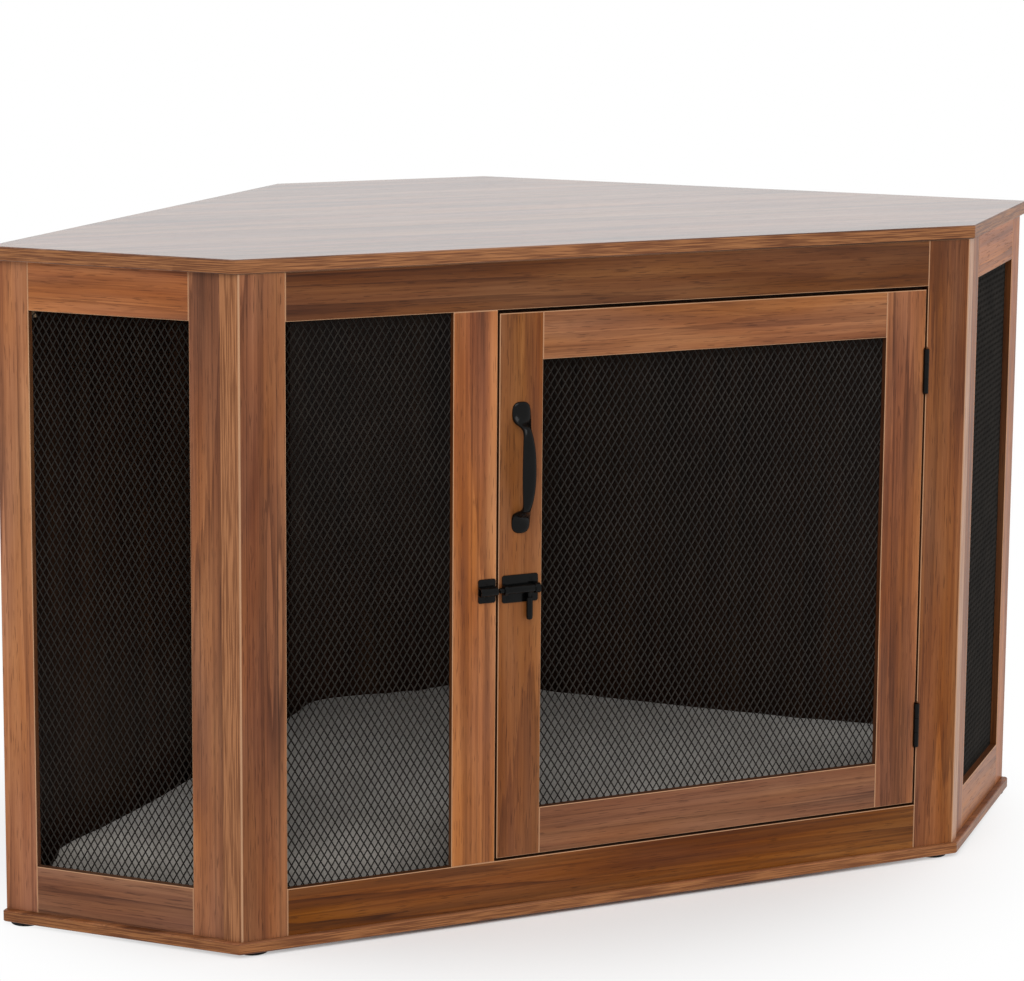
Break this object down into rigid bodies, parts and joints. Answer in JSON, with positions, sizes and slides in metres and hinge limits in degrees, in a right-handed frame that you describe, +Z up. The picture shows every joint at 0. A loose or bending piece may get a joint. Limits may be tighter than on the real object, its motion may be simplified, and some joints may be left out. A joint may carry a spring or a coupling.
{
  "type": "indoor dog house",
  "caption": "Walnut-finish corner dog house with a six-sided plan, black diamond mesh windows, a hinged front door with bow handle and barrel bolt, and a soft floor pad.",
  "frame": {"origin": "on the floor under the middle of the part's whole box", "axes": "+Z up, -Y out of the door, +X to the right for someone facing the door"},
  "size_m": [1.2666, 0.718, 0.73],
  "materials": {
    "walnut_board": "satin walnut foil on board",
    "mesh_black": "black powder coat",
    "hardware_black": "satin black",
    "zinc_steel": "zinc plated",
    "foot_plastic": "matte black",
    "pad_fabric": "grey short plush",
    "raw_beech": "raw beech"
  },
  "bodies": {
    "cabinet": {"top_board": "walnut_board", "base_board": "walnut_board", "left_back_wall": "walnut_board", "right_back_wall": "walnut_board", "centre_back_wall": "walnut_board", "front_left_stile": "walnut_board", "front_right_stile": "walnut_board", "front_centre_stile": "walnut_board", "front_top_rail": "walnut_board", "front_bottom_rail": "walnut_board", "left_side_near_stile": "walnut_board", "left_side_far_stile": "walnut_board", "left_side_top_rail": "walnut_board", "left_side_bottom_rail": "walnut_board", "right_side_near_stile": "walnut_board", "right_side_far_stile": "walnut_board", "right_side_top_rail": "walnut_board", "right_side_bottom_rail": "walnut_board", "front_window_mesh": "mesh_black", "left_side_mesh": "mesh_black", "right_side_mesh": "mesh_black", "upper_hinge_frame_leaf": "hardware_black", "upper_hinge_pin": "hardware_black", "lower_hinge_frame_leaf": "hardware_black", "lower_hinge_pin": "hardware_black", "frame_hinge_screws": "hardware_black", "latch_keeper": "hardware_black", "keeper_screws": "hardware_black", "floor_pad": "pad_fabric", "top_dowels": "raw_beech", "corner_blocks": "raw_beech", "foot_front_left": "foot_plastic", "foot_front_right": "foot_plastic", "foot_tip_left": "foot_plastic", "foot_tip_right": "foot_plastic", "foot_back_left": "foot_plastic", "foot_back_right": "foot_plastic", "base_screws": "zinc_steel", "window_mesh_screws": "zinc_steel"},
    "door": {"door_latch_stile": "walnut_board", "door_hinge_stile": "walnut_board", "door_top_rail": "walnut_board", "door_bottom_rail": "walnut_board", "door_mesh": "mesh_black", "door_mesh_screws": "zinc_steel", "door_handle": "hardware_black", "handle_screws": "zinc_steel", "latch_housing": "hardware_black", "latch_screws": "hardware_black", "door_hinge_screws": "hardware_black", "upper_hinge_door_leaf": "hardware_black", "lower_hinge_door_leaf": "hardware_black"},
    "bolt": {"latch_bolt": "hardware_black", "latch_knob": "hardware_black"}
  },
  "joints": [
    {"name": "door_hinge", "type": "hinge", "parent": "cabinet", "child": "door", "pos_m": [0.37675, -0.3355, 0.365], "axis": [0, 0, 1], "range_deg": [0, 170]},
    {"name": "bolt_slide", "type": "slide", "parent": "door", "child": "bolt", "axis": [-1, 0, 0], "range_m": [0, 0.026]}
  ]
}
